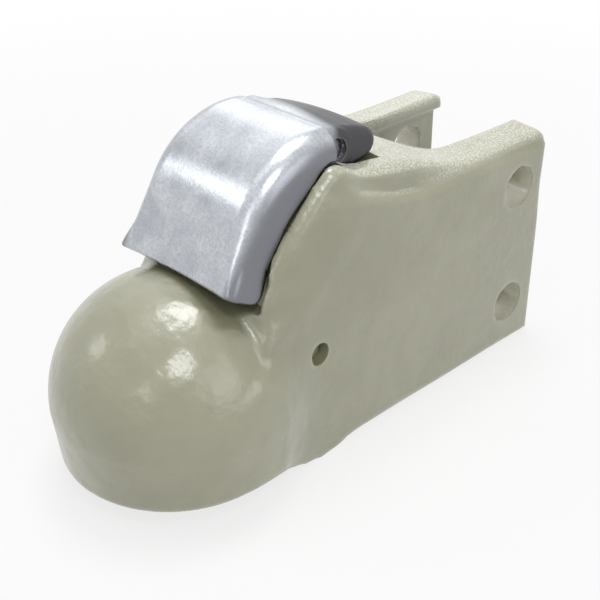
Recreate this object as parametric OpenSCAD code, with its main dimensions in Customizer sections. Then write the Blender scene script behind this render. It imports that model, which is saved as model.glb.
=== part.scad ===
// Trailer coupling: a cast head with a hooded latch lever for a 58.7 mm hitch ball.
// Millimetres. Origin at the centre of the ball, dome towards -Y, ears towards +Y, +Z up.

/* [Ball and dome] */

// Diameter of the hitch ball
ball_d = 58.7; // [56:0.1:60.5]

// Radial play between ball and socket
ball_play = 0.8; // [0.5:0.1:1.1]

// Wall of the dome round the socket
dome_wall = 12.8; // [11.5:0.1:14]

// Depth of the dome's rim below the ball centre
rim_drop = 21; // [19:0.5:23]

/* [Body] */

// Width over the flat sides
body_w = 70; // [68:0.5:74]

// Length from the front of the dome to the rear of the ears
body_len = 199.8; // [190:0.5:212]

// Height of the ears
ear_h = 90; // [86:0.5:96]

// Height of the ball centre above the flat base
base_drop = 30.2; // [28:0.2:32]

// Height of the hump above the top of the ears
hump_rise = 19.5; // [18:0.5:21]

/* [Ears] */

// Diameter of the four bolt holes
bolt_hole_d = 16.7; // [14:0.1:18]

// Distance between the two bolt holes of an ear
bolt_spacing = 50.8; // [44:0.1:54]

// Distance of the bolt holes from the rear edge
bolt_back = 16.8; // [14:0.2:20]

// Gap between the ears
ear_gap = 44; // [40:0.5:46]

// How far each lip stands into the gap
lip_in = 4; // [2:0.5:6]

// Height of the lips
lip_h = 6; // [4:0.5:8]

/* [Lever] */

// Width over the skirts of the hood
hood_w = 54.4; // [52:0.2:55]

// Wall of the hood
hood_wall = 4; // [3.4:0.1:4.6]

// Radius of the folds at the crest of the hood
fold_r = 8.7; // [7:0.1:9]

// Radius of the folds at the lower edge of the hood
low_fold_r = 3.6; // [2.5:0.1:5]

// How much wider the hood is at its lower edge, each side
hood_flare = 1.5; // [0:0.1:1.6]

// Slope of the front face of the hood
face_slope = 62; // [60:1:64]

// Radius of the bend over the crest
crest_r = 36; // [35:0.5:37]

// Width of the nose behind the hood
nose_w = 44; // [42:0.5:45]

// Diameter of the lever pin
lever_pin_d = 7.94; // [7:0.02:8.2]

/* [Clamp] */

// Width of the ball clamp
clamp_w = 17; // [15.5:0.5:17.5]

// Diameter of the clamp pin
clamp_pin_d = 8.2; // [7:0.1:9]

// Wire diameter of the springs
wire_d = 1.6; // [1.2:0.1:1.7]

/* [Hidden] */

fit = 0.04;
gap = 0.5;
$fn = 96;

socket_r = ball_d / 2 + ball_play;
dome_r = socket_r + dome_wall;
side = body_w / 2;
rear_y = body_len - dome_r;
base_z = -base_drop;
top_z = ear_h - base_drop;
hump_z = top_z + hump_rise;

// The lever pin lies under the hump's crest height, behind it
pin_y = 55;
pin_z = hump_z - 2.2;
hub_r = 7.6;
lug_r = lever_pin_d / 2 + 2.1;
lug_in = 9;
lug_out = 14.5;
cheek_in = 15;
cheek_out = nose_w / 2;
nose_r = 20.9;
nose_corner = 4.5;

// Level the nose and the floor under the hood are drawn from
nose_z = hump_z - 3.7;

// Hood path: straight face, bend, straight rear slope
rear_slope = 17.5;
crest_y = pin_y - 9.5;
crest_z = hump_z + 7.3;
bend_z = crest_z - crest_r;
hood_out = hood_w / 2;

// Clamp
clamp_y = socket_r + 4.35;
clamp_z = 14.3;
clamp_x = clamp_w / 2;
slot_x = clamp_x + 1;
swing_r = nose_r + gap;

gap_x = ear_gap / 2;
mouth_x = gap_x - lip_in;
gap_y = rear_y - 45.8;
bolt_y = rear_y - bolt_back;
bolt_mid = (base_z + top_z) / 2 + 0.5;

// Top line of the body as [y, share of the hump's height], from the hump to the ears
top_line = [[45.6, 1], [47.6, 0.98], [50, 0.9], [52.5, 0.8], [55, 0.71], [58, 0.64], [62, 0.59],
            [67, 0.56], [72, 0.53], [78, 0.48], [84, 0.415], [90, 0.335], [95, 0.25], [100, 0.165],
            [105, 0.095], [110, 0.04], [115, 0.01], [120, 0]];

// Prism of a side view outline given as (y, z), between two x positions
module across(x0, x1, outline) {
    translate([x0, 0, 0])
        rotate([90, 0, 90])
            linear_extrude(x1 - x0)
                polygon(outline);
}

// Round bar along X
module bar(x0, x1, y, z, r) {
    translate([x0, y, z])
        rotate([0, 90, 0])
            cylinder(r = r, h = x1 - x0);
}

module body_core() {
    outline = concat(
        [[-4, -rim_drop + 4], [12, -rim_drop + 0.5], [20, -rim_drop - 3.6],
         [27, base_z + 2.2], [35, base_z]],
        [[rear_y - 4.5, base_z], [rear_y - 1.3, base_z + 1.3], [rear_y, base_z + 4.5],
         [rear_y, top_z - 4], [rear_y - 1.2, top_z - 1.2], [rear_y - 4, top_z]],
        [for (i = [len(top_line) - 1 : -1 : 0])
            [top_line[i][0], top_z + hump_rise * top_line[i][1]]],
        [[43.4, hump_z - 1.3], [39, hump_z - 4.6], [32, 68.5], [26.5, 62.8], [22.3, 58],
         [18.8, 53.4], [15.4, 46.4], [13.2, 41], [12, 36], [12, 24], [-4, 20]]);
    intersection() {
        across(-side, side, outline);
        body_front_view();
    }
}

// Front view outline that rounds the shoulders of the hump and the ears
module body_front_view() {
    r = 10;
    translate([0, rear_y + 1, 0])
        rotate([90, 0, 0])
            linear_extrude(rear_y + 20) {
                translate([-side, base_z - 1])
                    square([body_w, hump_z - r - base_z + 1 - 3]);
                translate([-side + r, 0])
                    square([body_w - 2 * r, hump_z + 1]);
                for (s = [-1, 1])
                    translate([s * (side - r), hump_z - r - 3])
                        scale([1, 1.25])
                            circle(r);
            }
}

// Flare of the sides into the dome
module flare() {
    reach = 100;
    start = 45;
    difference() {
        intersection() {
            across(-dome_r, dome_r, [[11, -rim_drop + 0.6], [20, -rim_drop - 3.6],
                [27, base_z + 2.2], [35, base_z], [start, base_z], [start, 27], [11, 27]]);
            union() {
                translate([0, 0, 0])
                    rotate([-90, 0, 0])
                        cylinder(r = dome_r - 1, h = 60);
                translate([-dome_r, 0, base_z - 1])
                    cube([2 * dome_r, 60, -base_z + 1]);
            }
        }
        for (s = [-1, 1])
            translate([s * (side + reach), start, base_z - 5])
                cylinder(r = reach, h = 80, $fn = 240);
    }
}

module dome() {
    r = 3;
    intersection() {
        sphere(dome_r);
        translate([-60, -60, 0])
            cube(120);
    }
    translate([0, 0, -rim_drop + r])
        cylinder(r1 = dome_r - 1.5, r2 = dome_r, h = rim_drop - r);
    translate([0, 0, -rim_drop])
        cylinder(r = dome_r - 1.5 - r, h = rim_drop);
    translate([0, 0, -rim_drop + r])
        rotate_extrude()
            translate([dome_r - 1.5 - r, 0])
                circle(r, $fn = 32);
}

// Recess under the hood, slot for the nose, slot for clamp and pawl
module recess() {
    hx = hood_out + 0.7;
    nx = cheek_out + 0.6;
    top = hump_z + 12;
    difference() {
        across(-hx, hx, [[-6, 43], [9, 35.5], [17.4, 36.4], [28.6, 59.2], [31.4, 61.8],
            [36, nose_z - 9.8], [pin_y - 2, nose_z - 9.8], [pin_y - 2, top], [-6, top]]);
        sphere(dome_r);
    }
    difference() {
        across(-hx - hood_flare, hx + hood_flare,
            [[-6, 43], [9, 35.5], [17.4, 36.4], [22, 45.8], [22, top], [-6, top]]);
        sphere(dome_r);
        bar(-side, side, pin_y, pin_z, 46.6);
    }
    bar(-nx, nx, pin_y, pin_z, swing_r);
    across(-nx, nx, [[pin_y - 11, nose_z - 9.6], [pin_y, nose_z - 14], [pin_y + swing_r, pin_z],
        [pin_y + swing_r, top], [pin_y - 11, top]]);
}

module clamp_slot() {
    y0 = clamp_y;
    across(-slot_x, slot_x, [[10, base_z - 5], [y0 + 14.5, base_z - 5], [y0 + 14.5, 24],
        [y0 + 17, 40], [pin_y + 9, pin_z - 15], [pin_y + 9, hump_z + 12],
        [14, hump_z + 12], [21, 60], [22, 44], [10, 20]]);
    intersection() {
        across(-slot_x, slot_x, [[0, 0], [60, 20], [60, 60], [22, 60]]);
        sphere(dome_r - 4.4);
    }
}

module lugs() {
    for (s = [-1, 1])
        translate([s * (lug_in + lug_out) / 2, 0, 0]) {
            bar(-(lug_out - lug_in) / 2, (lug_out - lug_in) / 2, pin_y, pin_z, lug_r);
            across(-(lug_out - lug_in) / 2, (lug_out - lug_in) / 2,
                [[pin_y - lug_r + 0.3, pin_z], [pin_y - lug_r - 3, pin_z - 30],
                 [pin_y + lug_r + 3, pin_z - 30], [pin_y + 8, pin_z - 20.4],
                 [pin_y + 1.8, pin_z - 17.2], [pin_y + 3.2, pin_z - 12], [pin_y + 4, pin_z]]);
        }
}

// Space between the ears, narrower between the lips
module ear_space() {
    translate([0, gap_y, base_z - 5])
        cylinder(r = mouth_x, h = ear_h + 10);
    translate([-mouth_x, gap_y, base_z - 5])
        cube([2 * mouth_x, 100, ear_h + 10]);
    translate([0, gap_y, base_z + lip_h])
        cylinder(r = gap_x, h = ear_h - 2 * lip_h);
    translate([-gap_x, gap_y, base_z + lip_h])
        cube([2 * gap_x, 100, ear_h - 2 * lip_h]);
}

// Foundry pocket in the underside, between the clamp and the ears
module pocket() {
    across(-18, 18, [[clamp_y + 25, base_z - 5], [gap_y - gap_x - 8, base_z - 5],
        [gap_y - gap_x - 8, 38], [gap_y - gap_x - 11, 42], [clamp_y + 28, 42], [clamp_y + 25, 38]]);
}

module housing() {
    color([0.58, 0.58, 0.49])
        difference() {
            union() {
                difference() {
                    union() {
                        body_core();
                        flare();
                        dome();
                    }
                    recess();
                    sphere(socket_r);
                    translate([0, 0, base_z - 10])
                        cylinder(r = socket_r, h = base_drop + 10);
                    translate([0, 0, -rim_drop - 0.01])
                        cylinder(r1 = socket_r + 2, r2 = socket_r, h = 2);
                }
                lugs();
            }
            clamp_slot();
            ear_space();
            pocket();
            for (dz = [-bolt_spacing / 2, bolt_spacing / 2])
                bar(-side - 5, side + 5, bolt_y, bolt_mid + dz, bolt_hole_d / 2);
            bar(-side - 8, side + 8, clamp_y, clamp_z, clamp_pin_d / 2 + fit);
            bar(-lug_out - 1, lug_out + 1, pin_y, pin_z, lever_pin_d / 2 + fit / 2);
        }
}

// Outline of the hood's section from one lower edge to the other, as (x, depth) pairs
bends = 6;
function section_line(out, top, r, depth) = concat(
    [[out, depth]],
    [for (k = [0 : bends]) [out - r + r * cos(90 * k / bends), top + r - r * sin(90 * k / bends)]],
    [for (k = [bends : -1 : 0]) [-out + r - r * cos(90 * k / bends), top + r - r * sin(90 * k / bends)]],
    [[-out, depth]]);

function turned(list) = [for (i = [len(list) - 1 : -1 : 0]) list[i]];

function section_ring(depth, flare, r) = concat(
    section_line(hood_out + flare, 0, r, depth),
    turned(section_line(hood_out + flare - hood_wall, hood_wall, max(r - hood_wall + 0.4, 1), depth)));

// Stations of the hood as [y, z, slope, skirt depth, flare, fold], from the lower edge up
face_len = 25.4;
corner_r = 7.5;
skirt = [[-12, 9.2], [-4, 9.6], [4, 11.5], [19, 14.6], [35, 16.2], [51, 16.4], [62, 15.6]];
function corner(t) = t > corner_r ? 0 : corner_r * (1 - sqrt(1 - pow(1 - t / corner_r, 2)));
function face_station(t) = [
    crest_y - crest_r * sin(face_slope) - (face_len - t) * cos(face_slope),
    bend_z + crest_r * cos(face_slope) - (face_len - t) * sin(face_slope),
    face_slope, 15.6 - corner(t), hood_flare * max(0, 1 - t / 9),
    low_fold_r + (fold_r - low_fold_r) * t / (face_len + 10)];
function bend_station(a) = [crest_y - crest_r * sin(a), bend_z + crest_r * cos(a), a,
    lookup(a, skirt), 0,
    fold_r + (low_fold_r - fold_r) * 10 / (face_len + 10) * max(0, (a - 20) / (face_slope - 20))];
stations = concat(
    [for (t = [0, 0.4, 1.2, 2.4, 4.2, 5.8, 7.5]) face_station(t)],
    [for (t = [9, 13, 17, 21]) face_station(t)],
    [for (a = [face_slope : -4 : -10]) bend_station(a)]);

function placed(s, p) = [p[0], s[0] + sin(s[2]) * p[1], s[1] - cos(s[2]) * p[1]];

module hood() {
    n = 2 * bends + 4;
    ring = 2 * n;
    m = len(stations);
    points = [for (s = stations) for (p = section_ring(s[3], s[4], s[5])) placed(s, p)];
    skin = [for (i = [0 : m - 2]) for (j = [0 : ring - 1])
        for (f = [[i * ring + j, i * ring + (j + 1) % ring, (i + 1) * ring + (j + 1) % ring],
                  [i * ring + j, (i + 1) * ring + (j + 1) % ring, (i + 1) * ring + j]]) f];
    low = [for (j = [0 : n - 2])
        for (f = [[j, ring - 2 - j, j + 1], [j, ring - 1 - j, ring - 2 - j]]) f];
    high = [for (f = low) [f[0] + (m - 1) * ring, f[2] + (m - 1) * ring, f[1] + (m - 1) * ring]];
    polyhedron(points, concat(skin, low, high), convexity = 6);
}

module nose() {
    u = cos(rear_slope);
    v = sin(rear_slope);
    ty = crest_y + crest_r * v;
    tz = bend_z + crest_r * u;
    difference() {
        union() {
            across(-cheek_out, cheek_out, [[40, nose_z + 3], [pin_y - 8, nose_z - 2.5],
                [pin_y - 2, nose_z - 7.2], [pin_y + 6, nose_z - 7.2], [pin_y + 12, nose_z - 6.2],
                [pin_y + 16.5, nose_z - 5.5], [pin_y + 18.8, nose_z - 4.5],
                [pin_y + 20.2, nose_z - 2.6], [pin_y + 20.6, nose_z - 0.4], [pin_y + 20, nose_z + 2],
                [pin_y + 18.2, nose_z + 3.7], [pin_y + 15.6, tz - (pin_y + 15.6 - ty) * v / u - 0.1],
                [ty, tz], [ty - 3, tz + 0.6], [crest_y, crest_z - 0.4], [40, crest_z - 1]]);
            bar(-cheek_out, cheek_out, pin_y, pin_z, hub_r);
        }
        bar(-cheek_in, cheek_in, pin_y, pin_z, lug_r + gap);
        across(-cheek_in, cheek_in, [[30, nose_z - 20], [pin_y + 14.6, nose_z - 20],
            [pin_y + 11.6, nose_z + 1], [pin_y, nose_z + 1], [pin_y, nose_z + 4],
            [40, crest_z - 5.5], [30, crest_z - 5.5]]);
        nose_corners();
    }
}

// What is taken off the two rear corners of the nose
module nose_corners() {
    end = pin_y + 20.6;
    for (s = [-1, 1])
        difference() {
            translate([s * cheek_out - nose_corner, end - nose_corner, nose_z - 12])
                cube([2 * nose_corner, nose_corner + 1, 24]);
            translate([s * (cheek_out - nose_corner), end - nose_corner, nose_z - 13])
                cylinder(r = nose_corner, h = 26);
        }
}

module latch_lever() {
    color([0.68, 0.71, 0.76])
        difference() {
            union() {
                hood();
                nose();
            }
            sphere(dome_r + 1.6);
            bar(-cheek_in, cheek_in, pin_y, pin_z, lug_r + gap);
            bar(-cheek_out - 1, cheek_out + 1, pin_y, pin_z, lever_pin_d / 2 + fit);
            for (s = [-1, 1])
                bar(s * cheek_out - 1.5, s * cheek_out + 1.5, pin_y, pin_z, lever_pin_d / 2 + 0.6);
        }
}

module lever_pin() {
    color([0.35, 0.36, 0.38])
        bar(-cheek_out + 1.8, cheek_out - 1.8, pin_y, pin_z, lever_pin_d / 2);
}

// Close-wound coil with two straight legs; leg_a and leg_b are their angles in the side view
module coil(x0, y, z, r, turns, leg_a, leg_b, len) {
    pitch = wire_d * 0.96;
    translate([x0 + wire_d / 2, y, z]) {
        rotate([0, 90, 0])
            rotate_extrude()
                union() {
                    for (i = [0 : turns - 1])
                        translate([r, i * pitch])
                            circle(d = wire_d, $fn = 24);
                    translate([r - wire_d * 0.35, 0])
                        square([wire_d * 0.7, (turns - 1) * pitch]);
                }
        rotate([leg_a, 0, 0])
            translate([0, 0, r])
                rotate([90, 0, 0])
                    cylinder(d = wire_d * 0.86, h = len, $fn = 24);
        translate([(turns - 1) * pitch, 0, 0])
            rotate([leg_b, 0, 0])
                translate([0, 0, r])
                    rotate([-90, 0, 0])
                        cylinder(d = wire_d * 0.86, h = len, $fn = 24);
    }
}

module lever_spring() {
    color([0.3, 0.31, 0.33])
        coil(-8.7, pin_y, pin_z, lever_pin_d / 2 + 0.05 + wire_d / 2, 2, 30, -80, 12);
}

module pawl_spring() {
    color([0.3, 0.31, 0.33])
        coil(5.4, pin_y, pin_z, lever_pin_d / 2 + 0.05 + wire_d / 2, 2, 60, -80, 12);
}

module lock_pawl() {
    r = lever_pin_d / 2 + 2;
    color([0.42, 0.42, 0.4])
        difference() {
            union() {
                bar(-5, 5, pin_y, pin_z, r);
                across(-5, 5, [[pin_y - 3, pin_z + 4.2], [pin_y - 16, nose_z - 3], [clamp_y - 3.5, 61],
                    [clamp_y - 3, 50.5], [clamp_y - 1.5, 49], [clamp_y + 0.6, 49],
                    [clamp_y + 1.8, 50.5], [clamp_y + 2.2, 60], [pin_y - 12, nose_z - 9.5],
                    [pin_y - 2, pin_z - 5.4]]);
            }
            bar(-6, 6, pin_y, pin_z, lever_pin_d / 2 + fit);
        }
}

module ball_clamp() {
    y0 = clamp_y;
    hub = clamp_pin_d / 2 + 5.4;
    color([0.4, 0.4, 0.37])
        difference() {
            union() {
                bar(-clamp_x, clamp_x, y0, clamp_z, hub);
                across(-clamp_x, clamp_x, [[y0 - 14, -19.5], [y0 - 12, -21], [y0 - 4, -21.5],
                    [y0 + 1, -19], [y0 + 6.5, -8], [y0 + hub, clamp_z], [y0, clamp_z], [y0 - 16, 5]]);
                across(-clamp_x, clamp_x, [[y0 - 3, clamp_z], [y0 + 3, 56], [y0 + 5, 58.5],
                    [y0 + 11, 58.5], [y0 + 12.5, 56], [y0 + hub, clamp_z]]);
                intersection() {
                    across(-clamp_x, clamp_x, [[0, 0], [60, 20], [60, 60], [20, 34]]);
                    sphere(dome_r - 5);
                }
            }
            sphere(ball_d / 2 + 0.2);
            bar(-clamp_x - 1, clamp_x + 1, y0, clamp_z, clamp_pin_d / 2 + fit);
            bar(clamp_x - 4, clamp_x + 1, y0, clamp_z, clamp_pin_d / 2 + 9);
        }
}

module clamp_pin() {
    color([0.55, 0.55, 0.46])
        bar(-side + 4, side - 4, clamp_y, clamp_z, clamp_pin_d / 2);
}

module clamp_spring() {
    color([0.3, 0.31, 0.33])
        coil(clamp_x - 3.6, clamp_y, clamp_z, clamp_pin_d / 2 + 0.05 + wire_d / 2, 2, 70, -70, 11.8);
}

housing();
latch_lever();
lever_pin();
lever_spring();
lock_pawl();
pawl_spring();
ball_clamp();
clamp_pin();
clamp_spring();
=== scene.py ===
# %% [markdown]
# # A cast trailer coupling
# The part is a heavy cast head for a hitch ball, with a folded metal latch lever over its hump.
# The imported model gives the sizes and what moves, so it is loaded first and never changed.
# Everything below dresses it: smooth cast skins, the lever, the small steel pieces and their finishes.
# The work is in millimetres, as on the drawing, and one factor turns it into metres.

# %% Load the frame
import math

import bpy
import numpy as np
from mathutils import Matrix, Vector


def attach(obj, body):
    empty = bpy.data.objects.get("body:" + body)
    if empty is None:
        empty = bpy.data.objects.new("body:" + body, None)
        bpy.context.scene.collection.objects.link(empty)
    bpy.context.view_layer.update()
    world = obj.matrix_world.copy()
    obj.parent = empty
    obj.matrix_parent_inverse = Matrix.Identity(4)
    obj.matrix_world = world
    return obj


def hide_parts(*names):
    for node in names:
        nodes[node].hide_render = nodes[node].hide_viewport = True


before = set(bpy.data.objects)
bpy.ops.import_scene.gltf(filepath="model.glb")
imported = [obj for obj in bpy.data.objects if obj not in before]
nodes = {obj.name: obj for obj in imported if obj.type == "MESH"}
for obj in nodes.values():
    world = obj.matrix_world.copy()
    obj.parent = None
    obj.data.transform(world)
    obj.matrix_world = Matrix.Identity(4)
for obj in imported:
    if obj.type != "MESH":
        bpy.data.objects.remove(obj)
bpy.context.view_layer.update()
MM = 0.001

# %% [markdown]
# The camera stands where the photograph was taken from, level with the dome and a little above the hump.
# It comes first, so that each piece can be looked at from there while it is being made.
# The three directions are written down as the columns of its turning matrix.

# %% Camera
camera_data = bpy.data.cameras.new("photo_camera")
camera_data.lens = 63.3
camera_data.sensor_width = 36.0
camera_data.clip_start = 0.01
camera_data.clip_end = 20.0
camera = bpy.data.objects.new("photo_camera", camera_data)
bpy.context.scene.collection.objects.link(camera)
bpy.context.scene.camera = camera
right, up, ahead = (Vector(v).normalized() for v in (
    (0.6837, 0.7296, -0.0131), (-0.3697, 0.3619, 0.8558), (-0.6291, 0.5803, -0.5172)))
turn = Matrix((right, up, -ahead)).transposed().to_4x4()
camera.matrix_world = Matrix.Translation(Vector((245.8, -168.5, 212.3)) * MM) @ turn
print("camera lens", camera_data.lens, "mm")

# %% [markdown]
# A casting has no hard corners: molten iron rounds every edge and fills every corner a little.
# Bevels and subdivision can do that on simple forms, but here a dome flows into flat sides, a recess and slots.
# So the skins are made from distances. A form is a rule that says how far a point is from its surface,
# less than nothing inside it. Two rules are joined or cut with a chosen rounding, as a pattern maker's fillets are.

# %% Rules for distances
def box_2d(u, v, half_u, half_v, corner=0.0):
    """Distance to a rectangle about the origin, with round corners."""
    a, b = np.abs(u) - half_u + corner, np.abs(v) - half_v + corner
    return np.minimum(np.maximum(a, b), 0) + np.hypot(np.maximum(a, 0), np.maximum(b, 0)) - corner


def outline_2d(u, v, corners):
    """Distance to a closed outline of straight runs, less than nothing inside it."""
    corners = np.asarray(corners, float)
    best = np.full(np.shape(u), 1e9)
    inside = np.zeros(np.shape(u), bool)
    for (u0, v0), (u1, v1) in zip(corners, np.roll(corners, -1, axis=0)):
        du, dv = u1 - u0, v1 - v0
        share = np.clip(((u - u0) * du + (v - v0) * dv) / (du * du + dv * dv), 0, 1)
        best = np.minimum(best, (u - u0 - share * du) ** 2 + (v - v0 - share * dv) ** 2)
        if dv != 0:
            crosses = (v0 > v) != (v1 > v)
            inside ^= crosses & (u < u0 + du * (v - v0) / dv)
    return np.where(inside, -1, 1) * np.sqrt(best)


def both(a, b, rounding):
    """What lies in a and in b, with the outer edge between them rounded."""
    return np.minimum(np.maximum(a, b), -rounding) + np.hypot(
        np.maximum(a + rounding, 0), np.maximum(b + rounding, 0))


def either(a, b, fillet):
    """What lies in a or in b, with the inner corner between them filled."""
    return -both(-a, -b, fillet)


def without(a, b, rounding):
    """What is left of a when b is cut from it, with the edge of the cut rounded."""
    return both(a, -b, rounding)


def ease(t):
    """From 0 to 1 with a soft start and end."""
    t = np.clip(t, 0, 1)
    return t * t * (3 - 2 * t)


print("rules ready:", both(np.array(-1.0), np.array(-1.0), 0.5))

# %% [markdown]
# A rule becomes a mesh by walking through a grid of small cells. Where the distance changes sign along
# a cell's edge the surface passes through, and the slopes there say how it lies.
# Each cell gets one corner of the mesh, put where the slopes of its crossings meet best.
# That keeps round forms smooth, and it also keeps a drilled hole's rim crisp, which plain voxels would blur.

# %% Skin a rule
def slopes(rule, p, h=0.02):
    """Unit direction in which the distance grows, at each of the points."""
    g = np.stack([rule(*(p + h * e).T) - rule(*(p - h * e).T) for e in np.eye(3)], axis=1)
    return g / np.maximum(np.linalg.norm(g, axis=1), 1e-9)[:, None]


def skin(rule, low, high, cell):
    """Corners and four-sided faces of the surface where the rule is zero."""
    low, high = np.asarray(low, float), np.asarray(high, float)
    count = np.ceil((high - low) / cell).astype(int) + 1
    axes = [low[i] + cell * np.arange(count[i]) for i in range(3)]
    value = np.empty(count)
    for i, x in enumerate(axes[0]):
        y, z = np.meshgrid(axes[1], axes[2], indexing="ij")
        value[i] = rule(np.full(y.shape, x), y, z)
    inside = value < 0
    cells = count - 1
    total = int(np.prod(cells))
    a = np.zeros((total, 6))
    b, middle, hits = np.zeros((total, 3)), np.zeros((total, 3)), np.zeros(total)
    quads = []
    for axis in range(3):
        near = [slice(None)] * 3
        far = [slice(None)] * 3
        near[axis], far[axis] = slice(0, -1), slice(1, None)
        change = inside[tuple(near)] != inside[tuple(far)]
        at = np.argwhere(change)
        others = [k for k in range(3) if k != axis]
        ok = np.all([(at[:, k] > 0) & (at[:, k] < cells[k]) for k in others], axis=0)
        at = at[ok]
        start = low + cell * at
        step = np.zeros(3)
        step[axis] = cell
        v0 = value[tuple(at.T)]
        v1 = value[tuple((at + (step > 0)).T)]
        s0, s1 = np.zeros(len(at)), np.ones(len(at))
        for _ in range(3):
            s = s0 + (s1 - s0) * np.clip(v0 / (v0 - v1), 0.02, 0.98)
            v = rule(*(start + s[:, None] * step).T)
            same = (v < 0) == (v0 < 0)
            s0, v0 = np.where(same, s, s0), np.where(same, v, v0)
            s1, v1 = np.where(same, s1, s), np.where(same, v1, v)
        p = start + (s0 + (s1 - s0) * v0 / (v0 - v1))[:, None] * step
        n = slopes(rule, p)
        along = np.sum(n * p, axis=1)
        ring = []
        for du, dv in ((0, 0), (1, 0), (1, 1), (0, 1)):
            home = at.copy()
            home[:, others[0]] -= du
            home[:, others[1]] -= dv
            index = np.ravel_multi_index(tuple(home.T), tuple(cells))
            ring.append(index)
            for k, (i, j) in enumerate(((0, 0), (1, 1), (2, 2), (0, 1), (0, 2), (1, 2))):
                a[:, k] += np.bincount(index, n[:, i] * n[:, j], total)
            for i in range(3):
                b[:, i] += np.bincount(index, n[:, i] * along, total)
                middle[:, i] += np.bincount(index, p[:, i], total)
            hits += np.bincount(index, minlength=total)
        ring = np.stack(ring, axis=1)
        flip = inside[tuple(at.T)] == (axis == 1)
        ring[flip] = ring[flip][:, ::-1]
        quads.append(ring)
    used = np.flatnonzero(hits)
    a, b, hits = a[used], b[used], hits[used]
    middle = middle[used] / hits[:, None]
    m = np.empty((len(used), 3, 3))
    for k, (i, j) in enumerate(((0, 0), (1, 1), (2, 2), (0, 1), (0, 2), (1, 2))):
        m[:, i, j] = m[:, j, i] = a[:, k]
    hold = 0.03 * hits[:, None, None] * np.eye(3)
    corner = np.linalg.solve(m + hold, (b + 0.03 * hits[:, None] * middle)[:, :, None])[:, :, 0]
    cell_low = low + cell * np.stack(np.unravel_index(used, tuple(cells)), axis=1)
    corner = np.clip(corner, cell_low - 0.05 * cell, cell_low + 1.05 * cell)
    place = np.full(total, -1)
    place[used] = np.arange(len(used))
    return corner, place[np.concatenate(quads)]


def make_piece(name, rule, low, high, cell, body, crease=38):
    """One closed mesh from a rule, riding on a body of the frame."""
    corner, quads = skin(rule, low, high, cell)
    mesh = bpy.data.meshes.new(name)
    mesh.from_pydata((corner * MM).tolist(), [], quads.tolist())
    mesh.validate()
    mesh.polygons.foreach_set("use_smooth", [True] * len(mesh.polygons))
    mesh.set_sharp_from_angle(angle=math.radians(crease))
    piece = bpy.data.objects.new(name, mesh)
    bpy.context.scene.collection.objects.link(piece)
    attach(piece, body)
    print(name, len(mesh.polygons), "faces", [round(v, 1) for v in corner.min(0)],
          [round(v, 1) for v in corner.max(0)])
    return piece


# %% [markdown]
# The sizes come from the drawing. The ball is 58.7 mm, the socket has a little play round it,
# and the wall of the dome is thick because it carries the trailer's whole pull.

# %% Main sizes in mm
socket_r = 30.15
dome_r = 42.95
rim_z = -21.0
side = 35.0
rear_y = 156.85
base_z = -30.2
ears_z = 59.8
hump_z = 79.3
pin_y, pin_z = 55.0, 77.1
clamp_y, clamp_z = 34.5, 14.3
bolt_y, bolt_mid, bolt_gap, bolt_r = 140.05, 15.3, 50.8, 8.35
gap_y = 111.05
hood_half = 27.2
nose_half = 22.0
print("dome", 2 * dome_r, "mm, body", 2 * side, "mm wide")

# %% [markdown]
# The head was cast in one: a round dome over the ball, flat sides that sweep out into it,
# a hump that carries the lever, and two ears with the bolt holes. The sides meet the dome in one long
# hollow sweep, tangent to both, so the width at each height is worked out from the dome's own circle there.

# %% Rule for the cast head
def half_width(y, z):
    """Half the body's width: flat at the rear, sweeping out into the dome."""
    ring = np.sqrt(np.maximum(dome_r ** 2 - np.maximum(z, 0) ** 2, 36.2 ** 2))
    ring = ring - 1.2 * np.clip(-z / 21, 0, 1)
    reach = (side ** 2 + 45 ** 2 - ring ** 2) / (2 * ring - 2 * side)
    back = np.clip(45 - y, 0, 45 * reach / (ring + reach))
    return side + reach - np.sqrt(reach ** 2 - back ** 2)


def smooth_line(points, passes, step=0.5):
    """A line through a few points, made soft, with how much shorter its normal is than its height."""
    t, v = np.array(points, float).T
    fine = np.arange(t[0], t[-1] + step, step)
    value = np.interp(fine, t, v)
    for _ in range(passes):
        value[1:-1] = (value[:-2] + 2 * value[1:-1] + value[2:]) / 4
    return fine, value, 1 / np.hypot(1, np.gradient(value, fine))


top_line = smooth_line([(-10, 77.9), (46, 77.9), (48, 77.7), (50, 76.9), (52.5, 75.2), (55, 73.7), (58, 72.3), (62, 71.3),
                        (67, 70.7), (72, 70.1), (78, 69.2), (84, 67.9), (90, 66.3), (95, 64.6), (100, 62.9),
                        (105, 61.5), (110, 60.5), (115, 60), (122, ears_z), (170, ears_z)], 12)
front_line = smooth_line([(-40, -4), (14, -4), (22, 11), (30, 12), (36, 12.2), (41, 13.6), (44.4, 15.8), (52.2, 20), (57, 23.5),
                          (61.8, 27.8), (67.4, 33.2), (73.6, 39.6), (76.8, 43.2), (80, 47.6), (95, 71)], 12)
ledge_line = smooth_line([(-10, 78), (30, 78), (40, 72.5), (48, 69), (57, 65.3), (72, 60.2), (80, 58.8), (87, 58), (97, 57.5),
                           (108, 57.2), (118, 57), (130, 56.5), (157, 55), (170, 54.5)], 16)
under_side = [(-4, -17), (12, -20.5), (20, -24.6), (27, -28), (35, base_z), (rear_y, base_z), (rear_y, 120), (-4, 120)]


def over(line, along, value):
    """Distance past a soft line, more than nothing on its far side."""
    fine, level, short = line
    return (value - np.interp(along, fine, level)) * np.interp(along, fine, short)


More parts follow.
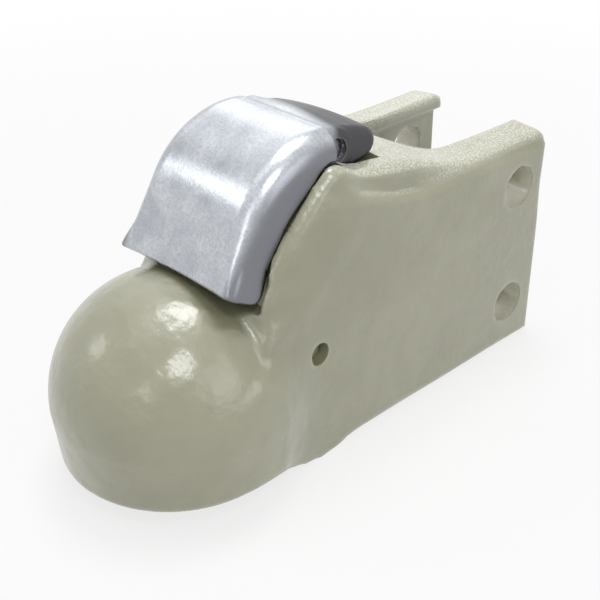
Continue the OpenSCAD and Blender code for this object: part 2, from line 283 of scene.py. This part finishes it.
def head_body(x, y, z):
    """The body without the dome: its side view, given width, a narrower top and rounded edges."""
    across = np.abs(x)
    rear = ease((y - 36) / 20)
    crown = (2.4 * (1 - (across / side) ** 2) - 1.4) * rear
    fine, level, short = front_line
    front = (np.interp(z, fine, level) - y) * np.interp(z, fine, short) - 0.5 * ease((z - 34) / 10)
    top = over(top_line, y, z - crown)
    view = both(both(outline_2d(y, z, under_side), front, 2.0), top, 2.5 + 1.5 * ease((y - 100) / 20))
    half = half_width(y, z)
    round_top = 6.4 - 2.9 * ease((y - 76) / 34)
    rounding = 2.6 + 5.4 * ease((z - 18) / 24) + (round_top - 8) * ease((z - 18) / 34)
    ledge = ease((y - 42) / 16) * (1 - 0.3 * ease((y - 78) / 26)) * (1 - 0.4 * ease((y - 132) / 24))
    step = 2.4 * ledge
    upper = both(view, across - half + step, rounding * (1 - 0.5 * ease((60 - y) / 14)))
    depth = 2.4 * ease((y - 44) / 10) * ease((108 - y) / 30)
    cove = depth - np.hypot(over(ledge_line, y, z) - 2.5, across - half + step - 1.1)
    upper = both(upper, cove, 1.6)
    lower = both(both(view, over(ledge_line, y, z), 1.0), across - half, rounding + (4.6 - rounding) * ledge)
    turned_in = ease((z - 24) / 14)
    slant = 0.455 * (front + 9 * turned_in) + 0.89 * (across - half)
    join = 0.02 + 0.9 * ease(1.4 - np.abs(over(ledge_line, y, z)) / 6) * ease(step / 2)
    return both(either(upper, lower, join), slant, 1 + 5 * turned_in)


def dome(x, y, z):
    """Round above, a little narrower towards its rim below."""
    level = np.hypot(x, y)
    shell = np.where(z > 0, np.sqrt(level ** 2 + z ** 2) - dome_r, level - dome_r + 1.5 * np.clip(-z / 18, 0, 1.1))
    return both(shell, rim_z - z, 3.0)


def recess(x, y, z):
    """The room under the hood, the wider room round its lower edge and the round seat of the nose."""
    across = np.abs(x)
    floor = [(-6, 43), (9, 35.5), (17.4, 36.4), (28.6, 59.2), (31.4, 61.8), (36, 65.8), (53, 65.8), (53, 95), (-6, 95)]
    swing = np.hypot(y - pin_y, z - pin_z)
    room = 27.9 + np.where(x > 0, 1.5, 2.3) * ease((swing - 42) / 8)
    under = both(outline_2d(y, z, floor), across - room, 1.0)
    under = both(under, dome_r + 0.2 - np.sqrt(x * x + y * y + z * z), 0.5)
    seat = np.minimum(swing - 21.4, outline_2d(
        y, z, [(44, 66), (55, 61.6), (76.4, 77.1), (76.4, 92), (44, 92)]))
    return np.minimum(under, both(seat, across - 22.6, 0.8))


def lugs(x, y, z):
    """Two ears cast on the recess floor, which carry the lever's pin."""
    eye = np.hypot(y - pin_y, z - pin_z) - 6.07
    foot = outline_2d(y, z, [(49.2, 77.1), (45.9, 47.1), (64, 47.1), (63, 56.7), (56.8, 59.9), (58.2, 65.1), (59, 77.1)])
    return both(np.minimum(eye, foot), np.abs(np.abs(x) - 11.75) - 2.75, 0.7)


def slots(x, y, z):
    """What is open through the casting: the clamp's slot, the pocket below and the gap between the ears."""
    across = np.abs(x)
    slot = both(outline_2d(y, z, [(10, -36), (49, -36), (49, 24), (51.5, 40), (64, 62.1), (64, 92), (14, 92),
                                  (21, 60), (22, 44), (10, 20)]), across - 9.5, 0.8)
    throat = both(np.sqrt(x * x + y * y + z * z) - 38.55, both(outline_2d(
        y, z, [(0, 0), (60, 20), (60, 60), (22, 60)]), across - 9.5, 0.8), 0.8)
    pocket = both(outline_2d(y, z, [(59.5, -36), (81, -36), (81, 38), (78, 42), (62.5, 42), (59.5, 38)]),
                  across - 18, 2.0)
    wide = both(np.where(y < gap_y, np.hypot(x, y - gap_y), across) - 22, np.abs(z - 14.8) - 39, 2.6)
    narrow = np.where(y < gap_y, np.hypot(x, y - gap_y), across) - 18
    return np.minimum(np.minimum(slot, throat), np.minimum(pocket, either(wide, narrow, 1.6)))


def head(x, y, z):
    """The whole casting."""
    ball = np.sqrt(x * x + y * y + z * z)
    form = either(dome(x, y, z), head_body(x, y, z), 4.0)
    form = without(form, recess(x, y, z), 1.2)
    level = np.hypot(x, y)
    socket = np.minimum(np.where(z > 0, ball, level) - socket_r, level - socket_r - 2 - (rim_z - z))
    form = without(form, socket, 0.8)
    form = either(form, lugs(x, y, z), 1.2)
    form = without(form, slots(x, y, z), 1.2 + 1.2 * ease((y - 112) / 30))
    bolts = np.minimum(*(np.hypot(y - bolt_y, z - bolt_mid - s * bolt_gap / 2) for s in (-1, 1))) - bolt_r
    pins = np.minimum(np.hypot(y - clamp_y, z - clamp_z) - 4.14,
                      np.maximum(np.hypot(y - pin_y, z - pin_z) - 3.99, np.abs(x) - 16))
    return without(without(form, bolts, 0.7), pins, 0.3)


cell = 1.15
cast_head = make_piece("cast_head", head, (-45, -45, -32.5), (45, 159, 84), cell, "base")
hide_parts("housing")

# %% [markdown]
# The latch lever is a light metal casting: a hood bent over the hump, with skirts folded down at both sides,
# and behind it a darker nose with two cheeks that turn on the pin. The hood's side view is a straight face
# that runs into a wide bend, so each point is described by how far it is from that line and how far along it is.
# The fold is tight at the lower edge and grows round towards the crest, which catches the long bright line.

# %% Rule for the lever
bend_y, bend_z, bend_r = 45.5, 50.6, 36.0
face_tilt = math.radians(62)
flare_near, flare_far = 1.5, 2.3


def along_hood(y, z):
    """Height over the hood's line, the way run down the straight face, and the angle round the bend."""
    dy, dz = y - bend_y, z - bend_z
    angle = np.arctan2(-dy, dz)
    down = -dy * math.cos(face_tilt) - dz * math.sin(face_tilt)
    face_height = -dy * math.sin(face_tilt) + dz * math.cos(face_tilt) - bend_r
    on_face = (angle > face_tilt) | ((angle < -2.2) & (down > 0))
    height = np.where(on_face, face_height, np.hypot(dy, dz) - bend_r)
    return height, np.where(on_face, down, 0.0), np.where(on_face, face_tilt, angle)


def hood(x, y, z):
    """The bent shell with its two folded skirts."""
    height, down, angle = along_hood(y, z)
    across = np.abs(x)
    lean = np.clip(x / hood_half, -1, 1)
    face_run = 25.9 - 0.7 * lean - 0.9 * (1 - lean ** 2)
    low = ease(1 - (face_run - down) / 12)
    draft = 0.5 * ease(-height / 15)
    half = hood_half + draft + np.where(x > 0, flare_near, flare_far) * low
    fold = 8.7 - 5.1 * np.clip((angle - 0.35) / 0.73 * 0.28 + down / 35, 0, 1)
    degrees = np.degrees(angle)
    skirt = np.interp(degrees, [-12, -3, 4, 13, 24, 36, 50, 57, 62], [9.1, 9.7, 11.1, 13.8, 15.4, 16.0, 15.8, 15.5, 15.1])
    skirt = skirt - 1.0 * ease(down / 22)
    outer = both(height, across - half, fold)
    inner = both(height + 4.0, across - half + 4.0, np.maximum(fold - 3.6, 1.0))
    ends = both(-height - skirt, down - face_run, 4.5)
    shell = both(without(outer, inner, 0.8), ends, 1.1)
    rear = (-math.radians(10) - angle) * bend_r
    return both(shell, rear, 1.4)


nose_view = [(40, 78.6), (47, 73.1), (53, 68.4), (61, 68.4), (66, 69.2), (69.6, 70.2), (72.4, 71.7), (74.5, 73.5),
             (75.6, 75.4), (75.3, 77.4), (73.7, 79.2), (70.8, 80.8), (66.4, 82.4), (61.4, 83.6), (56.3, 84.6),
             (53.3, 85.2), (51, 85.0), (46, 83.2), (40, 82.4)]


def nose(x, y, z):
    """The block behind the hood, hollow between its cheeks."""
    across = np.abs(x)
    crown = (1.5 * (1 - (across / nose_half) ** 2) + 0.022 * x) * ease((y - 54) / 8)
    block = both(outline_2d(y, z - crown + 0.8 * ease((y - 56) / 8), nose_view) + 0.05,
                 box_2d(x, y - 50, nose_half, 25.7, 4.8), 3.0)
    eye = np.hypot(y - pin_y, z - pin_z)
    block = either(block, both(eye - 7.6, across - nose_half, 1.2), 0.6)
    hollow = np.minimum(eye - 6.47, outline_2d(
        y, z, [(30, 55.6), (69.6, 55.6), (66.6, 76.6), (55, 76.6), (55, 79.6), (40, 81.1), (30, 81.1)]))
    return without(block, both(hollow, across - 15, 1.0), 0.8)


def lever(x, y, z):
    """Hood and nose in one, cleared for the dome and bored for the pin."""
    form = either(hood(x, y, z), nose(x, y, z), 2.0)
    form = without(form, np.sqrt(x * x + y * y + z * z) - dome_r - 1.6, 0.9)
    across = np.abs(x)
    eye = np.hypot(y - pin_y, z - pin_z)
    form = without(form, both(eye - 6.47, across - 15, 0.5), 0.4)
    bore = np.minimum(eye - 4.01, np.maximum(eye - 4.5, nose_half - 1.4 - across))
    return without(form, bore, 0.45)


cell = 0.66
latch = make_piece("hood_lever", lever, (-31, -2, 35), (31, 77, 89), cell, "lever")
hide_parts("latch_lever")

# %% [markdown]
# Under the socket a forged clamp presses on the ball, and a pawl on the lever's pin keeps its tail back.
# Both are plain dark forgings with soft edges, so they are skinned from rules as the head is.

# %% Clamp and pawl
def clamp(x, y, z):
    """The jaw under the ball, its eye and its tail."""
    across = np.abs(x)
    jaw = outline_2d(y, z, [(20.5, -19.5), (22.5, -21), (30.5, -21.5), (35.5, -19), (41, -8), (44, 14.3), (34.5, 14.3), (18.5, 5)])
    tail = outline_2d(y, z, [(31.5, 14.3), (37.5, 56), (39.5, 58.5), (45.5, 58.5), (47, 56), (44, 14.3)])
    eye = np.hypot(y - clamp_y, z - clamp_z)
    pad = both(outline_2d(y, z, [(0, 0), (60, 20), (60, 60), (20, 34)]), np.sqrt(x * x + y * y + z * z) - 37.9, 0.8)
    view = either(either(jaw, eye - 9.5, 2.0), tail, 3.0)
    form = both(np.minimum(view, pad), across - 8.5, 1.4)
    form = without(form, np.sqrt(x * x + y * y + z * z) - 29.55, 0.6)
    form = without(form, both(eye - 13.1, np.abs(x - 8.5) - 4, 0.6), 0.6)
    return without(form, eye - 4.14, 0.4)


def pawl(x, y, z):
    """A short arm that hangs from the lever's pin in front of the clamp's tail."""
    eye = np.hypot(y - pin_y, z - pin_z)
    arm = outline_2d(y, z, [(52, 81.3), (39, 72.6), (31, 61), (31.5, 50.5), (33, 49), (35.1, 49), (36.3, 50.5),
                            (36.7, 60), (43, 66.1), (53, 71.7)])
    form = both(either(arm, eye - 5.97, 1.0), np.abs(x) - 5, 0.9)
    return without(form, eye - 4.01, 0.4)


cell = 0.7
clamp_piece = make_piece("forged_clamp", clamp, (-10, 10, -24), (10, 50, 61), cell, "clamp")
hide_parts("ball_clamp")
pawl_piece = make_piece("forged_pawl", pawl, (-6.5, 28, 47), (6.5, 64, 84), cell, "pawl")
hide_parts("lock_pawl")

# %% [markdown]
# The two cross pins are turned from bar. A pin's outline, with its small end chamfers and the dimple
# that the lathe's centre left, is spun about its axis, which is how a lathe makes it too.

# %% Turned pins
def turned_pin(name, half, radius, y, z, chamfer, body):
    """A bar along X with chamfered ends and a centre dimple in each."""
    line = [(half - 0.9, 0.0), (half - 0.1, radius * 0.28), (half, radius * 0.34), (half, radius - chamfer),
            (half - 0.35 * chamfer, radius - 0.35 * chamfer), (half - chamfer, radius)]
    line = line + [(a * half, radius) for a in (0.6, 0.2, -0.2, -0.6)] + [(-x, r) for x, r in reversed(line)]
    turns = 64
    verts, faces = [], []
    for k in range(turns):
        c, s = math.cos(2 * math.pi * k / turns), math.sin(2 * math.pi * k / turns)
        verts += [(x * MM, (y + r * c) * MM, (z + r * s) * MM) for x, r in line[1:-1]]
    n = len(line) - 2
    for k in range(turns):
        a, b = k * n, (k + 1) % turns * n
        faces += [(a + i, b + i, b + i + 1, a + i + 1) for i in range(n - 1)]
    verts += [(line[0][0] * MM, y * MM, z * MM), (line[-1][0] * MM, y * MM, z * MM)]
    faces += [(len(verts) - 2, (k + 1) % turns * n, k * n) for k in range(turns)]
    faces += [(len(verts) - 1, k * n + n - 1, (k + 1) % turns * n + n - 1) for k in range(turns)]
    mesh = bpy.data.meshes.new(name)
    mesh.from_pydata(verts, [], faces)
    mesh.polygons.foreach_set("use_smooth", [True] * len(mesh.polygons))
    mesh.set_sharp_from_angle(angle=math.radians(30))
    piece = bpy.data.objects.new(name, mesh)
    bpy.context.scene.collection.objects.link(piece)
    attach(piece, body)
    print(name, len(faces), "faces")
    return piece


hinge_pin = turned_pin("hinge_pin", 20.2, 3.97, pin_y, pin_z, 0.6, "base")
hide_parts("lever_pin")
cross_pin = turned_pin("cross_pin", 31.0, 4.1, clamp_y, clamp_z, 0.7, "base")
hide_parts("clamp_pin")

# %% [markdown]
# Three small springs sit on the pins: close-wound wire with two straight legs.
# A curve with a round bevel draws bent wire well, and it is turned into a mesh so that it exports as one.

# %% Coil springs
def coil_spring(name, x, y, z, radius, leg_a, leg_b, leg, body, wire=1.6):
    """Two close turns about X from x on, with a straight leg at each end."""
    a, b = math.radians(leg_a), math.radians(leg_b)
    points = []
    start = Vector((0, -math.sin(a), math.cos(a)))
    away = Vector((0, -math.cos(a), -math.sin(a)))
    finish = Vector((0, -math.sin(b), math.cos(b)))
    leave = Vector((0, math.cos(b), math.sin(b)))
    base = Vector((x + wire / 2, y, z))
    points += [base + start * radius + away * t for t in (leg, 0.6 * leg, 0.25 * leg)]
    turn_by = -(2 * math.pi - (b - a) % (2 * math.pi)) - 2 * math.pi
    steps = 40
    for k in range(steps + 1):
        t = a + turn_by * k / steps
        points.append(base + Vector((wire * 0.96 * k / steps, -math.sin(t) * radius, math.cos(t) * radius)))
    over = Vector((wire * 0.96, 0, 0))
    points += [base + over + finish * radius + leave * t for t in (0.25 * leg, 0.6 * leg, leg)]
    data = bpy.data.curves.new(name, "CURVE")
    data.dimensions = "3D"
    data.bevel_depth = wire / 2 * 0.93 * MM
    data.bevel_resolution = 4
    data.use_fill_caps = True
    spline = data.splines.new("POLY")
    spline.points.add(len(points) - 1)
    for p, co in zip(spline.points, points):
        p.co = (*(co * MM), 1)
    spline.use_smooth = True
    piece = bpy.data.objects.new(name, data)
    bpy.context.scene.collection.objects.link(piece)
    mesh = bpy.data.meshes.new_from_object(piece)
    bpy.data.objects.remove(piece)
    piece = bpy.data.objects.new(name, mesh)
    bpy.context.scene.collection.objects.link(piece)
    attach(piece, body)
    print(name, len(mesh.polygons), "faces")
    return piece


springs = []
for name, node, args in (
    ("lever_return_spring", "lever_spring", (-8.7, pin_y, pin_z, 4.82, 30, -80, 12, "lever")),
    ("pawl_return_spring", "pawl_spring", (5.4, pin_y, pin_z, 4.82, 60, -80, 12, "pawl")),
    ("clamp_return_spring", "clamp_spring", (4.9, clamp_y, clamp_z, 4.95, 70, -70, 11.8, "clamp"))):
    spring = coil_spring(name, *args)
    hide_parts(node)
    springs.append(spring)

# %% [markdown]
# Each finish is a small graph of nodes. Noise is measured in metres on the piece itself,
# so a scale of 900 gives grains about a millimetre wide whatever the piece's size.
# One helper places a node and sets or joins its sockets, which keeps the graphs short to read.

# %% Helper for finishes
class Finish:
    """A material and the few calls needed to wire it."""

    def __init__(self, name):
        self.material = bpy.data.materials.new(name)
        self.material.use_nodes = True
        self.tree = self.material.node_tree
        self.shader = next(n for n in self.tree.nodes if n.type == "BSDF_PRINCIPLED")

    def put(self, kind, settings=None, **sockets):
        node = self.tree.nodes.new(kind)
        for key, value in (settings or {}).items():
            setattr(node, key, value)
        for key, value in sockets.items():
            self.feed(node, key.replace("_", " "), value)
        return node

    def feed(self, node, key, value):
        socket = node.inputs[int(key[1:])] if key[0] == "i" and key[1:].isdigit() else node.inputs[key]
        if isinstance(value, bpy.types.NodeSocket):
            self.tree.links.new(value, socket)
        else:
            socket.default_value = value

    def noise(self, scale, detail=3.0, rough=0.55, stretch=None):
        place = self.put("ShaderNodeTexCoord").outputs["Object"]
        if stretch:
            place = self.put("ShaderNodeMapping", Vector=place, Scale=stretch).outputs["Vector"]
        return self.put("ShaderNodeTexNoise", Vector=place, Scale=scale, Detail=detail, Roughness=rough).outputs["Fac"]

    def span(self, value, low, high, to_low=0.0, to_high=1.0):
        return self.put("ShaderNodeMapRange", i0=value, i1=low, i2=high, i3=to_low, i4=to_high).outputs["Result"]

    def math(self, kind, a, b):
        return self.put("ShaderNodeMath", {"operation": kind}, i0=a, i1=b).outputs["Value"]

    def blend(self, share, a, b):
        node = self.put("ShaderNodeMix", {"data_type": "RGBA"})
        self.feed(node, "i0", share)
        self.feed(node, "i6", a)
        self.feed(node, "i7", b)
        return node.outputs[2]

    def bump(self, height, depth, strength, normal=None):
        node = self.put("ShaderNodeBump", Height=height, Distance=depth, Strength=strength)
        if normal is not None:
            self.feed(node, "Normal", normal)
        return node.outputs["Normal"]


def colour(r, g, b):
    """A colour as picked on a screen, in the linear values that the shader works with."""
    return tuple(((c / 255 + 0.055) / 1.055) ** 2.4 for c in (r, g, b)) + (1.0,)


print("grey 128 is", round(colour(128, 128, 128)[0], 3))

# %% [markdown]
# The head is sprayed with a khaki primer that is thick enough to shine on the smooth dome.
# On the top, where the sand of the mould was coarse, it stays grainy and dusty and scatters the light.
# Which kind of skin a place has is told by its height direction and how far back it lies.

# %% Khaki primer over cast iron
primer = Finish("khaki_primer")
geometry = primer.put("ShaderNodeNewGeometry")
normal_z = primer.put("ShaderNodeSeparateXYZ", Vector=geometry.outputs["Normal"]).outputs["Z"]
place = primer.put("ShaderNodeSeparateXYZ", Vector=primer.put("ShaderNodeTexCoord").outputs["Object"])
facing_up = primer.span(normal_z, 0.5, 0.74)
behind = primer.math("MULTIPLY", primer.span(place.outputs["Y"], 0.04, 0.055), primer.span(place.outputs["Z"], 0.044, 0.052))
side_x = primer.math("ABSOLUTE", place.outputs["X"], 0.0)
coarse = primer.math("MULTIPLY", primer.math("MULTIPLY", facing_up, behind), primer.span(side_x, 0.0336, 0.0322))
mottle = primer.noise(38, 4)
patches = primer.span(mottle, 0.35, 0.68)
skin_colour = primer.blend(patches, colour(141, 140, 113), colour(153, 152, 125))
fine = primer.noise(1500, 4, 0.65)
saddle = primer.span(place.outputs["Y"], 0.094, 0.112, 0.0, 0.12)
shoulder = primer.math("MULTIPLY", primer.span(place.outputs["Z"], 0.0558, 0.0584, 0.0, 0.7), primer.span(place.outputs["Y"], 0.082, 0.1))
coarse = primer.math("MAXIMUM", coarse, shoulder)
specks = primer.math("MULTIPLY", primer.math("MAXIMUM", primer.span(fine, 0.46, 0.62, 0.26, 1.0), saddle), coarse)
dust_and_lit_bores = primer.blend(specks, skin_colour, colour(233, 232, 216))
edges = primer.span(geometry.outputs["Pointiness"], 0.51, 0.6)
dust_and_lit_bores = primer.blend(primer.math("MULTIPLY", edges, 0.35), dust_and_lit_bores, colour(206, 206, 184))
# Painted light: the walls of the two bolt bores are painted a pale khaki, for the light seen inside them.
off_bolt_z = primer.math("SUBTRACT", primer.math("ABSOLUTE", primer.math("SUBTRACT", place.outputs["Z"], bolt_mid * MM), 0.0), bolt_gap / 2 * MM)
off_bolt_y = primer.math("SUBTRACT", place.outputs["Y"], bolt_y * MM)
off_bolt = primer.put("ShaderNodeCombineXYZ", Y=off_bolt_y, Z=off_bolt_z).outputs["Vector"]
bore = primer.span(primer.put("ShaderNodeVectorMath", {"operation": "LENGTH"}, i0=off_bolt).outputs["Value"], 0.00852, 0.0083)
dust_and_lit_bores = primer.blend(bore, dust_and_lit_bores, colour(220, 219, 204))
primer.feed(primer.shader, "Base Color", dust_and_lit_bores)
waves = primer.noise(160, 3, 0.5)
rough = primer.span(waves, 0.3, 0.7, 0.38, 0.48)
primer.feed(primer.shader, "Roughness", primer.math("ADD", rough, primer.math("MULTIPLY", coarse, 0.12)))
low_bump = primer.bump(primer.noise(75, 2, 0.4), 0.002, 0.4, primer.bump(waves, 0.0012, 0.34))
primer.shader.inputs["Specular IOR Level"].default_value = 0.5
primer.shader.inputs["Coat Weight"].default_value = 1.0
primer.shader.inputs["Coat Roughness"].default_value = 0.27
primer.shader.inputs["Coat IOR"].default_value = 1.8
primer.feed(primer.shader, "Coat Normal", low_bump)
grain_depth = primer.math("ADD", primer.math("MULTIPLY", coarse, 0.55), 0.08)
grain = primer.put("ShaderNodeBump", Height=fine, Distance=0.0006, Strength=grain_depth, Normal=low_bump)
primer.feed(primer.shader, "Normal", grain.outputs["Normal"])
cast_head.data.materials.append(primer.material)
print("primer nodes", len(primer.tree.nodes))

# %% [markdown]
# The lever is bare light metal, tumbled to a satin. Its face is a bright bluish grey with faint clouds and pits;
# its skirts and the nose behind the crest are painted darker as painted shade, and the nose is also made rougher.

# %% Satin lever metal
satin = Finish("satin_light_metal")
place = satin.put("ShaderNodeSeparateXYZ", Vector=satin.put("ShaderNodeTexCoord").outputs["Object"])
clouds = satin.noise(90, 4, 0.6)
bright = satin.blend(satin.span(clouds, 0.3, 0.7), colour(172, 176, 182), colour(202, 206, 211))
pits = satin.noise(1000, 5, 0.7)
bright = satin.blend(satin.span(pits, 0.44, 0.7), bright, colour(166, 170, 176))
# Painted shade: the skirts at both sides are painted a darker grey, for the shade and dark reflection they show.
skirt_painted_shade = satin.span(satin.math("ABSOLUTE", place.outputs["X"], 0.0), 0.0245, 0.0268)
bright = satin.blend(skirt_painted_shade, bright, colour(128, 130, 136))
# Painted shade: the nose behind the crest is painted dark grey, fully on the near side and a little less on the far
# side, for the dark reflection it shows.
crest_y = satin.math("ADD", place.outputs["Y"], satin.math("MULTIPLY", place.outputs["X"], 0.2))
nose_painted_shade = satin.math("MULTIPLY", satin.span(crest_y, 0.0555, 0.0605), satin.span(place.outputs["X"], -0.02, 0.008, 0.78, 1.0))
with_nose_shade = satin.blend(nose_painted_shade, bright, colour(84, 84, 87))
# Painted highlight: a lighter grey ring is painted round the rim of the pin's bore.
off_pin = satin.put("ShaderNodeCombineXYZ", Y=satin.math("SUBTRACT", place.outputs["Y"], pin_y * MM),
                    Z=satin.math("SUBTRACT", place.outputs["Z"], pin_z * MM)).outputs["Vector"]
off_pin = satin.put("ShaderNodeVectorMath", {"operation": "LENGTH"}, i0=off_pin).outputs["Value"]
satin.feed(satin.shader, "Base Color", satin.blend(satin.span(off_pin, 0.0048, 0.0045), with_nose_shade, colour(146, 146, 149)))
satin.shader.inputs["Metallic"].default_value = 1.0
satin.feed(satin.shader, "Roughness", satin.math("ADD", satin.span(clouds, 0.3, 0.7, 0.24, 0.32), satin.math("MULTIPLY", nose_painted_shade, 0.14)))
satin.feed(satin.shader, "Normal", satin.bump(pits, 0.0001, 0.22, satin.bump(satin.noise(120, 2), 0.0003, 0.1)))
latch.data.materials.append(satin.material)
print("lever nodes", len(satin.tree.nodes))

# %% [markdown]
# The inner pieces are steel in three states: forged and black, turned and grey, drawn wire with a little oil.
# They share a recipe, with their own colour, gloss and grain.

# %% Steels
def steel(name, dark, light, metallic, gloss, grain_scale, depth, stretch=None):
    made = Finish(name)
    grain = made.noise(grain_scale, 4, 0.6, stretch)
    made.feed(made.shader, "Base Color", made.blend(made.span(grain, 0.3, 0.7), colour(*dark), colour(*light)))
    made.shader.inputs["Metallic"].default_value = metallic
    made.feed(made.shader, "Roughness", made.span(grain, 0.3, 0.7, gloss - 0.06, gloss + 0.1))
    made.feed(made.shader, "Normal", made.bump(grain, depth, 0.35))
    print(name, "ready")
    return made.material


forged = steel("forged_steel", (70, 69, 66), (108, 106, 100), 0.7, 0.5, 500, 0.0004)
turned = steel("turned_steel", (104, 106, 110), (146, 148, 154), 0.8, 0.36, 1200, 0.0001, (0.1, 1, 1))
drawn = steel("drawn_wire", (96, 98, 104), (140, 143, 150), 1.0, 0.28, 900, 0.0001)
primed = steel("primed_pin_end", (146, 146, 122), (168, 168, 144), 0.0, 0.45, 700, 0.0003)
clamp_piece.data.materials.append(forged)
pawl_piece.data.materials.append(forged)
hinge_pin.data.materials.append(turned)
cross_pin.data.materials.append(primed)
for spring in springs:
    spring.data.materials.append(drawn)
for node, material in (("housing", primer.material), ("latch_lever", satin.material), ("lever_pin", turned),
                       ("lever_spring", drawn), ("lock_pawl", forged), ("pawl_spring", drawn),
                       ("ball_clamp", forged), ("clamp_pin", primed), ("clamp_spring", drawn)):
    nodes[node].data.materials.clear()
    nodes[node].data.materials.append(material)

# %% [markdown]
# The studio is plain: a pale floor under the base, a soft overhead lamp, a soft lamp on the camera's right
# and weaker ones at the left. Each gives one of the soft bright spots that the dome and the lever show.
# The white behind the part comes from the floor's own colour for the camera, so it puts no extra light on the part.

# %% Floor and lamps
floor_mesh = bpy.data.meshes.new("studio_floor")
reach = 4.0
floor_mesh.from_pydata([(-reach, -reach, 0), (reach, -reach, 0), (reach, reach, 0), (-reach, reach, 0)], [], [(0, 1, 2, 3)])
floor = bpy.data.objects.new("studio_floor", floor_mesh)
floor.location.z = base_z * MM - 0.0001
bpy.context.scene.collection.objects.link(floor)


def seen_rays(made):
    """1 for rays from the camera, a mirror or glass, else 0."""
    path = made.put("ShaderNodeLightPath")
    total = made.math("MAXIMUM", path.outputs["Is Camera Ray"], path.outputs["Is Glossy Ray"])
    return made.math("MAXIMUM", total, path.outputs["Is Transmission Ray"])


paper = Finish("studio_paper")
paper.shader.inputs["Base Color"].default_value = (0.86, 0.86, 0.86, 1)
paper.shader.inputs["Roughness"].default_value = 0.9
paper.shader.inputs["Specular IOR Level"].default_value = 0.1
glow = paper.put("ShaderNodeEmission", Color=(1, 1, 1, 1), Strength=1.0)
spot = paper.put("ShaderNodeTexCoord").outputs["Object"]
far_away = paper.span(paper.put("ShaderNodeVectorMath", {"operation": "LENGTH"}, i0=spot).outputs["Value"], 0.22, 0.6, 0.76, 1.0)
share = paper.math("MULTIPLY", seen_rays(paper), far_away)
mixed = paper.put("ShaderNodeMixShader", i0=share, i1=paper.shader.outputs["BSDF"], i2=glow.outputs["Emission"])
output = next(n for n in paper.tree.nodes if n.type == "OUTPUT_MATERIAL")
paper.feed(output, "Surface", mixed.outputs["Shader"])
floor_mesh.materials.append(paper.material)

world = bpy.data.worlds.new("studio_air")
bpy.context.scene.world = world
world.use_nodes = True
air = Finish.__new__(Finish)
air.material, air.tree = None, world.node_tree
background = next(n for n in world.node_tree.nodes if n.type == "BACKGROUND")
air.feed(background, "Strength", air.span(seen_rays(air), 0, 1, 0.375, 1.0))
background.inputs["Color"].default_value = (1, 1, 1, 1)


def lamp(name, azimuth, elevation, distance, size, power):
    """A square soft lamp that looks at the part from that direction."""
    a, e = math.radians(azimuth), math.radians(elevation)
    way = Vector((math.sin(a) * math.cos(e), -math.cos(a) * math.cos(e), math.sin(e)))
    data = bpy.data.lights.new(name, "AREA")
    data.shape, data.size, data.energy = "SQUARE", size, power
    made = bpy.data.objects.new(name, data)
    target = Vector((0, 40 * MM, 20 * MM))
    made.location = target + way * distance
    made.rotation_mode = "QUATERNION"
    made.rotation_quaternion = (-way).to_track_quat("-Z", "Y")
    bpy.context.scene.collection.objects.link(made)
    return made


lamp("overhead_lamp", -146, 79, 0.9, 0.34, 3.2)
lamp("right_lamp", 62, 52, 0.9, 0.18, 1.2)
lamp("left_lamp", -47, 30, 1.0, 0.20, 0.48)
lamp("rear_lamp", -131, 32, 1.0, 0.44, 0.72)
lamp("front_lamp", 22, 25, 1.2, 0.20, 0.5)
lamp("side_lamp", 100, 24, 1.1, 0.60, 1.5)
lamp("sky_lamp", -97, 43, 1.1, 0.60, 0.45)
lamp("brow_lamp", -38, 66, 0.9, 0.46, 0.45)
bpy.context.scene.view_settings.view_transform = "Standard"
